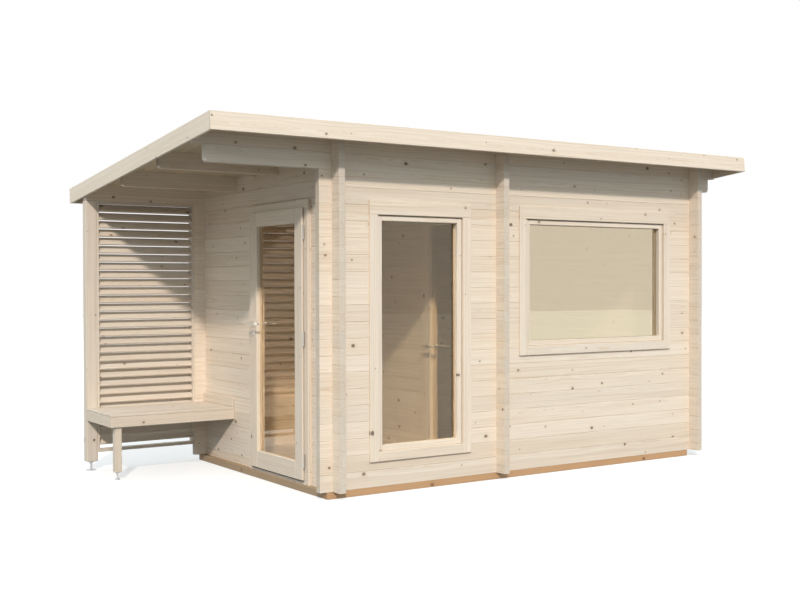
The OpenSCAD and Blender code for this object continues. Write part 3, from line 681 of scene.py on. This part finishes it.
def add_sheet(mesh, x0, x1, line, thickness):
    """A sheet across the roof whose section follows a line of (place on slope, height)."""
    under = [ROOF_FRAME @ Vector((x, s, n)) for x in (x0, x1) for s, n in line]
    over = [ROOF_FRAME @ Vector((x, s, n + thickness)) for x in (x0, x1) for s, n in line]
    lower = [mesh.verts.new(p) for p in under]
    upper = [mesh.verts.new(p) for p in over]
    n = len(line)
    faces = []
    for i in range(n - 1):
        faces.append(mesh.faces.new((lower[i], lower[i + 1], lower[n + i + 1], lower[n + i])))
        faces.append(mesh.faces.new((upper[i], upper[i + 1], upper[n + i + 1], upper[n + i])))
        for row in (0, n):
            a, b = row + i, row + i + 1
            faces.append(mesh.faces.new((lower[a], lower[b], upper[b], upper[a])))
    for i in (0, n - 1):
        faces.append(mesh.faces.new((lower[i], lower[n + i], upper[n + i], upper[i])))
    bmesh.ops.recalc_face_normals(mesh, faces=faces)


def fascias():
    """One board along each edge of the roof."""
    thick, tall = 0.019, 0.117
    lip = ROOF_BOARD + 0.007              # top edge, a little over the felt
    bottom = lip - tall
    x0, x1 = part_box("fascia_front")[0].x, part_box("fascia_front")[1].x
    start, stop = along_slope("roof_boards", ROOF_BOARD)
    places = {"fascia_front": ((x0, start - thick), (x1, start), "x"),
              "fascia_back": ((x0, stop), (x1, stop + thick), "x"),
              "barge_left": ((x0, start), (x0 + thick, stop), "y"),
              "barge_right": ((x1 - thick, start), (x1, stop), "y")}
    for name, (low, high, grain) in places.items():
        boards = Boards()
        boards.add((*low, bottom), (*high, lip), grain, EDGE, ROOF_FRAME)
        boards.done(name + "_board", spruce_board, replaces=[name])


# ---------------------------------------------------------------- windows and doors

def ring_boards(boards, x0, x1, z0, z1, y0, y1, sides, foot, head, edge=EDGE, place=None):
    """Two uprights and, between them, two level boards around an opening in the x-z plane.

    place maps (x, y, z) to the model.
    """
    put = place or (lambda x, y, z: (x, y, z))

    def one(a, b, grain):
        low = Vector(put(*a))
        high = Vector(put(*b))
        ends = [sorted((low[i], high[i])) for i in range(3)]
        boards.add([e[0] for e in ends], [e[1] for e in ends], grain, edge)

    flat = "x" if place is None else "y"
    one((x0, y0, z0), (x0 + sides, y1, z1), "z")
    one((x1 - sides, y0, z0), (x1, y1, z1), "z")
    one((x0 + sides, y0, z0), (x1 - sides, y1, z0 + foot), flat)
    one((x0 + sides, y0, z1 - head), (x1 - sides, y1, z1), flat)


def rings_around_pane(boards, outline, opening, depths, edge, place=None):
    """Members around a pane in two layers, which hold its edge between them and the beads.

    The outline and the opening are (low, high) pairs of the members' plane, and the depths are
    the front, both faces of the pane and the back.
    """
    (ox0, oz0), (ox1, oz1) = outline
    (ix0, iz0), (ix1, iz1) = opening
    front, pane_front, pane_back, back = depths
    side, foot, head = ix0 - ox0, iz0 - oz0, oz1 - iz1
    lap = PANE_LAP + GAP
    ring_boards(boards, ox0, ox1, oz0, oz1, front, pane_front - GAP, side, foot, head, edge, place)
    ring_boards(boards, ox0, ox1, oz0, oz1, pane_front - GAP, back, side - lap, foot - lap, head - lap,
                EDGE, place)
    ring_boards(boards, ix0 - lap, ix1 + lap, iz0 - lap, iz1 + lap, pane_back + GAP, pane_back + BEAD,
                lap, lap, lap, ROUND, place)


def window(name):
    """Casing boards on both faces of the wall, a frame in the logs, and a sash with beads."""
    pane_low, pane_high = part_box(name + "_glass")
    low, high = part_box(name + "_frame")
    x0, z0 = pane_low.x + PANE_LAP, pane_low.z + PANE_LAP
    x1, z1 = pane_high.x - PANE_LAP, pane_high.z - PANE_LAP
    rebate = low.y + 0.030                # back of the gap around the sash
    members = Boards()
    cover = x0 - SASH - low.x
    behind = cover + SASH_GAP
    ring_boards(members, low.x, high.x, low.z, high.z, low.y, rebate, cover, cover, cover)
    ring_boards(members, low.x, high.x, low.z, high.z, rebate, high.y, behind, cover, behind)
    sash = ((x0 - SASH + SASH_GAP, z0 - SASH), (x1 + SASH - SASH_GAP, z1 + SASH - SASH_GAP))
    rings_around_pane(members, sash, ((x0, z0), (x1, z1)), (low.y, pane_low.y, pane_high.y, high.y),
                      SOFT)
    members.done(name + "_members", spruce_board, replaces=[name + "_frame"])

    boards = Boards()
    casings = sorted(loose_parts(name + "_casing"), key=lambda b: b[0].y)
    for (low, high), edge in zip(casings, (SASH, SASH + cover)):
        foot, head = z0 - edge - low.z, high.z - z1 - edge
        side = x0 - edge - low.x
        boards.add(low, (low.x + side, high.y, high.z - head), "z", ROUND)
        boards.add((high.x - side, low.y, low.z), (high.x, high.y, high.z - head), "z", ROUND)
        boards.add((low.x + side, low.y, low.z), (high.x - side, high.y, low.z + foot), "x", ROUND)
        boards.add((low.x, low.y, high.z - head), high, "x", ROUND)
    boards.done(name + "_casing_boards", spruce_board, replaces=[name + "_casing"])


def door(prefix, body, stile, rail):
    """Leaf of stiles and rails with a lip around it and beads at the pane."""
    low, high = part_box(prefix + "_leaf")
    pane_low, pane_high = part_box(prefix + "_glass")
    lip, cover = 0.013, 0.015             # thickness of the lip, and its width on three sides

    def put(y, x, z):
        return (x, y, z)

    opening = ((low.y + stile, low.z + rail), (high.y - stile, high.z - stile))
    leaf = Boards()
    ring_boards(leaf, low.y, high.y, low.z, high.z, low.x, low.x + lip, stile, rail, stile, ROUND, put)
    rings_around_pane(leaf, ((low.y + cover, low.z), (high.y - cover, high.z - cover)), opening,
                      (low.x + lip, pane_low.x, pane_high.x, high.x), EDGE, put)
    leaf.done(prefix + "_leaf_members", spruce_board, body, [prefix + "_leaf"])


def portal(boards, low, high, side, edge=EDGE):
    """Two jambs and the head board that lies over them."""
    boards.add(low, (high[0], low[1] + side, high[2] - side), "z", edge)
    boards.add((low[0], high[1] - side, low[2]), (high[0], high[1], high[2] - side), "z", edge)
    boards.add((low[0], low[1], high[2] - side), high, "y", edge)


def door_frame(prefix):
    """Boards on both faces of the wall, a lining with the rebate and the stop, and a sill."""
    low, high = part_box(prefix + "_frame")
    leaf_low, leaf_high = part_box(prefix + "_leaf")
    show = leaf_low.y - low.y
    proud, inner = 0.030, 0.018           # how far the boards stand out of the wall's faces
    cover = 0.020                         # how far they reach over the logs
    cheek, stop = 0.010, 0.023            # how far the frame and its stop reach behind the lip
    rebate, drop = 0.013, 0.011           # depth of the rebate, and of the sill under the leaf
    face, back = low.x + proud, high.x - inner
    foot = low.z if prefix == "door" else FLOOR_TOP
    sill = leaf_low.z - drop
    boards = Boards()
    portal(boards, (low.x, low.y, foot), (face, high.y, high.z), show + cheek, ROUND)
    lining_low, lining_high = (low.y + cover, low.z), (high.y - cover, high.z - cover)
    portal(boards, (face, *lining_low), (face + rebate, *lining_high), show - cover + cheek)
    portal(boards, (face + rebate, *lining_low), (back, *lining_high), show - cover + stop)
    portal(boards, (back, low.y, FLOOR_TOP), high, show + stop, ROUND)
    boards.add((face, leaf_low.y + stop, low.z), (back, leaf_high.y - stop, sill), "y", EDGE)
    if prefix == "door":
        boards.add((low.x, leaf_low.y + cheek, low.z), (face, leaf_high.y - cheek, sill), "y", EDGE)
    boards.done(prefix + "_frame_boards", spruce_board, replaces=[prefix + "_frame"])


def hardware():
    """Levers, hinges, the threshold and the panes keep their CAD shapes."""
    for node in ("door_handles", "inner_door_handles"):
        dress(node, steel)
    for node in ("door_hinges", "inner_door_hinges", "frame_hinges", "door_threshold"):
        dress(node, dull_steel)
    dress("door_glass", door_pane)
    dress("inner_door_glass", inner_pane)
    dress("tall_window_glass", glass)
    dress("wide_window_glass", mirror_glass)


def feet():
    """Screw feet: a base plate, a threaded stem, a nut and a plate under the timber."""
    plate, nut = 0.004, 0.012             # thickness of a plate and height of a nut
    arris = 0.0008                        # bevel of their edges
    up = Vector((0, 0, 1))
    made = bmesh.new()
    for (low, high), stem in zip(loose_parts("adjustable_feet"), (0.006, 0.009)):
        middle = (low + high) / 2
        foot = Vector((middle.x, middle.y, low.z))
        wide = (high.x - low.x) / 2
        for start, radius in ((low.z, wide), (high.z - plate, wide * 0.8)):
            rim = [(0, radius - 0.0006), (0.0006, radius),
                   (plate - arris, radius), (plate, radius - arris)]
            lathe(made, rim, foot + up * (start - low.z), up, 48)
        across = stem * 1.8               # from the nut's middle to its corners
        hexagon = [(0, across - 0.001), (arris, across), (nut - arris, across), (nut, across - 0.001)]
        lathe(made, hexagon, foot + up * (high.z - plate - nut - low.z), up, 6)
        thread(made, foot, stem, plate, high.z - low.z - plate)
    piece(made, "screw_feet", zinc, "cabin", ["adjustable_feet"])


def thread(mesh, foot, stem, bottom, top, pitch=0.0025, depth=0.0009, sides=24):
    """A rod with one helical groove, standing over the point foot."""
    rings = []
    count = round((top - bottom) / pitch * 6)
    for i in range(count + 1):
        z = bottom + (top - bottom) * i / count
        ring = []
        for k in range(sides):
            turn = k / sides
            groove = abs((z / pitch - turn) % 1.0 - 0.5) * 2
            radius = stem - depth * (1 - groove)
            angle = 2 * math.pi * turn
            out = Vector((radius * math.cos(angle), radius * math.sin(angle), z))
            ring.append(mesh.verts.new(foot + out))
        rings.append(ring)
    faces = [mesh.faces.new(rings[0][::-1]), mesh.faces.new(rings[-1])]
    for a, b in zip(rings, rings[1:]):
        for k in range(sides):
            j = (k + 1) % sides
            faces.append(mesh.faces.new((a[k], a[j], b[j], b[k])))
    bmesh.ops.recalc_face_normals(mesh, faces=faces)


def key():
    """A key in the outer lock, and a second one that hangs from its ring."""
    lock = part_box("door_handles")[0].z + 0.022
    leaf_low, leaf_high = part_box("door_leaf")
    y = leaf_high.y - 0.062
    face = leaf_low.x - 0.010             # front of the lock's rose
    hang = face - 0.024                   # plane in which the spare key hangs
    bow, link = 0.009, 0.013              # radii of a key's head and of the ring

    def turns(count):
        return (2 * math.pi * i / count for i in range(count))

    made = bmesh.new()
    tube(made, [(face + 0.004, y, lock), (face - 0.014, y, lock)], 0.0016, 10)
    head = [(face - 0.021 + bow * math.cos(t), y, lock + bow * math.sin(t)) for t in turns(24)]
    tube(made, head, 0.0017, 8, closed=True)
    ring = [(hang + 0.003 * math.sin(t), y + link * math.sin(t), lock - 0.019 + link * math.cos(t))
            for t in turns(32)]
    tube(made, ring, 0.0008, 8, closed=True)
    spare = [(hang, y - 0.002 + 0.008 * math.sin(t), lock - 0.040 + bow * math.cos(t))
             for t in turns(24)]
    tube(made, spare, 0.0016, 8, closed=True)
    blade = [(hang, y - 0.002, lock - 0.048), (hang, y - 0.004, lock - 0.078)]
    tube(made, blade, 0.0018, 10)
    piece(made, "door_key", dull_steel, "door", smooth=True)


# ---------------------------------------------------------------- porch

def porch():
    """The post, and the louvred screen with its frame and its sloping slats."""
    low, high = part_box("porch_post")
    post = Boards()
    post.add(low, high, "z", SOFT)
    post.done("post_timber", shaded_porch_board, replaces=["porch_post"])

    parts = loose_parts("louvre_screen")
    parts.sort(key=lambda b: -(b[1] - b[0]).z)
    (low, high), slats = parts[0], parts[1:]
    stile, rail = 0.016, 0.022
    wide, thick, tilt = 0.085, 0.016, math.radians(52)       # a slat's section and slope
    lean = Matrix.Rotation(math.radians(90) - tilt, 4, "X")
    screen = Boards()
    ring_boards(screen, low.x, high.x, low.z, high.z, low.y, high.y, stile, rail, rail, 0.002)
    for slat_low, slat_high in slats:
        middle = (slat_low + slat_high) / 2
        corner = Vector(((slat_high.x - slat_low.x) / 2, wide / 2, thick / 2))
        screen.add(-corner, corner, "x", ROUND, Matrix.Translation(middle) @ lean)
    screen.done("louvre_boards", shaded_porch_board, replaces=["louvre_screen"])


def bench():
    """Seat boards, the apron around them with its leg, and the batten on the wall."""
    seat = Boards()
    for low, high in loose_parts("bench_seat"):
        seat.add(low, high, "x", SOFT)
    seat.done("bench_seat_boards", shaded_porch_board, replaces=["bench_seat"])

    low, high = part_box("bench_frame")
    thick, tall = 0.020, 0.075            # the apron's boards
    under = high.z - tall
    apron = Boards()
    for y in (low.y, high.y - thick):
        apron.add((low.x, y, under), (high.x, y + thick, high.z), "x", ROUND)
    for x in (low.x, high.x - thick):
        apron.add((x, low.y + thick, under), (x + thick, high.y - thick, high.z), "y", ROUND)
    leg_x, leg_y = low.x + 0.040, low.y + thick
    apron.add((leg_x, leg_y, low.z), (leg_x + 0.050, leg_y + 0.060, high.z), "z", ROUND)
    apron.done("bench_frame_boards", shaded_porch_board, replaces=["bench_frame"])

    low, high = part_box("bench_batten")
    batten = Boards()
    batten.add(low, high, "y", ROUND)
    batten.done("bench_batten_board", shaded_porch_board, replaces=["bench_batten"])


# ---------------------------------------------------------------- studio

def camera():
    """The photo's own place and view."""
    data = bpy.data.cameras.new("camera")
    data.lens = 50.865
    data.sensor_width = 36.0
    eye = put_in_scene("camera", data)
    yaw, pitch, roll = math.radians(33.565), math.radians(-0.623), math.radians(-0.149)
    eye.matrix_world = (Matrix.Translation((-5.1956, -7.6143, 1.4445))
                        @ Matrix.Rotation(-yaw, 4, "Z")
                        @ Matrix.Rotation(math.radians(90) + pitch, 4, "X")
                        @ Matrix.Rotation(roll, 4, "Z"))
    bpy.context.scene.camera = eye


def looked_at(s):
    """1 for what the camera sees, also through glass and in mirrors, and 0 for light."""
    path = s.node("LightPath").outputs
    seen = s.math("MAXIMUM", path["Is Camera Ray"], path["Is Glossy Ray"])
    return s.math("MAXIMUM", seen, path["Is Transmission Ray"])


def daylight():
    """A white world that gives a cool light, sun from the left front, and light from overhead."""
    world = bpy.data.worlds.new("studio")
    bpy.context.scene.world = world
    world.use_nodes = True
    world.node_tree.nodes.clear()
    s = Shader(world.node_tree)
    light = s.node("Background", {"Color": colour(0.84, 0.96, 0.985), "Strength": 0.69})
    white = s.node("Background", {"Color": colour(1, 1, 1), "Strength": 1.0})
    both = s.node("MixShader", {0: looked_at(s), 1: light.outputs[0], 2: white.outputs[0]})
    out = s.node("OutputWorld")
    s.join(both.outputs[0], out.inputs[0])

    for name, energy, spread, tint, steep, turn in (
            ("sun", 2.5, 3, (1.0, 0.925, 0.85), 58, -31),
            ("zenith", 1.0, 140, (0.90, 0.97, 0.99), 12, -20)):
        lamp = bpy.data.lights.new(name, "SUN")
        lamp.energy = energy
        lamp.angle = math.radians(spread)
        lamp.color = tint
        put_in_scene(name, lamp).rotation_euler = (math.radians(steep), 0, math.radians(turn))


def ground():
    """A floor that looks white where no shadow falls and throws little light back."""
    mesh = bmesh.new()
    bmesh.ops.create_grid(mesh, x_segments=1, y_segments=1, size=40.0)
    data = bpy.data.meshes.new("ground")
    mesh.to_mesh(data)
    mesh.free()
    plane = put_in_scene("ground", data)
    plane.location.z = GROUND_Z - 0.0005
    made, s = new_material("pale_floor")
    seen = looked_at(s)
    shade = s.blend(seen, colour(0.17, 0.17, 0.17), colour(0.5, 0.5, 0.5))
    diffuse = s.node("BsdfDiffuse", {"Color": shade})
    glow = s.node("Emission", {"Color": colour(1, 1, 1), "Strength": s.math("MULTIPLY", seen, 0.55)})
    total = s.node("AddShader", {0: diffuse.outputs[0], 1: glow.outputs[0]})
    out = s.node("OutputMaterial")
    s.join(total.outputs[0], out.inputs[0])
    data.materials.append(made)


log_walls()
bearers()
floor()
roof_deck()
roof_cover()
fascias()
window("tall_window")
window("wide_window")
door("door", "door", 0.108, 0.126)
door("inner_door", "inner_door", 0.073, 0.104)
door_frame("door")
door_frame("inner_door")
hardware()
feet()
key()
porch()
bench()
camera()
daylight()
ground()
bpy.context.scene.view_settings.view_transform = "Standard"
